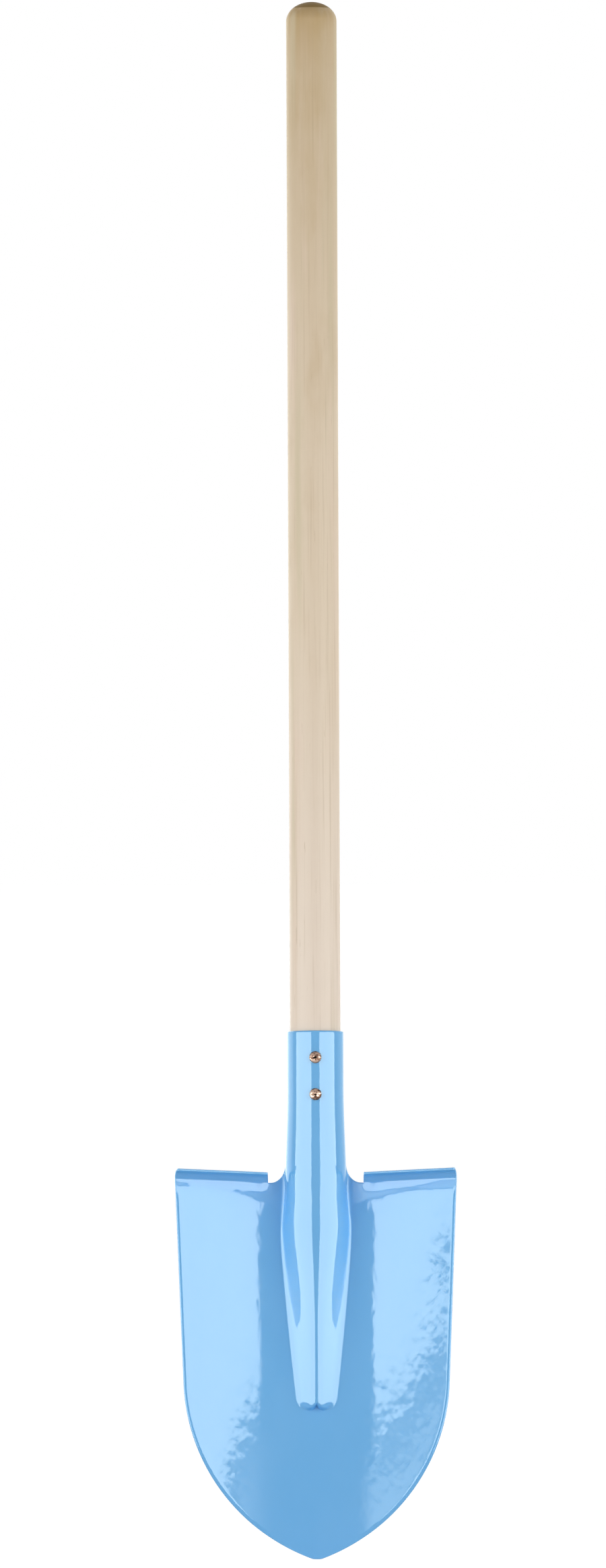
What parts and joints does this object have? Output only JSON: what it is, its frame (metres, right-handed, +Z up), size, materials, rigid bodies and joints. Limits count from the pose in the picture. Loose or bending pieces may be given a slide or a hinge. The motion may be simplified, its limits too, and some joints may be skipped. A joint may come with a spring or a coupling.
{
  "type": "children's spade",
  "caption": "Children's digging spade: a pressed steel blade with a rolled socket, ridge and turned treads, screwed to a straight round wooden handle.",
  "frame": {"origin": "on the line of the handle's axis, level with the tip of the blade; the middle of the object's box lies about 3 mm in front of it", "axes": "+Z up along the handle, -Y out of the digging face, +X to the right as seen from the front"},
  "size_m": [0.1446, 0.0386, 0.8001],
  "materials": {
    "blue_paint": "gloss light blue enamel with a faint orange-peel surface",
    "pale_wood": "sanded pale hardwood, unvarnished",
    "screw_brass": "bright, slightly tarnished"
  },
  "bodies": {
    "root": {"blade": "blue_paint", "handle": "pale_wood", "upper_screw": "screw_brass", "lower_screw": "screw_brass"}
  },
  "joints": []
}
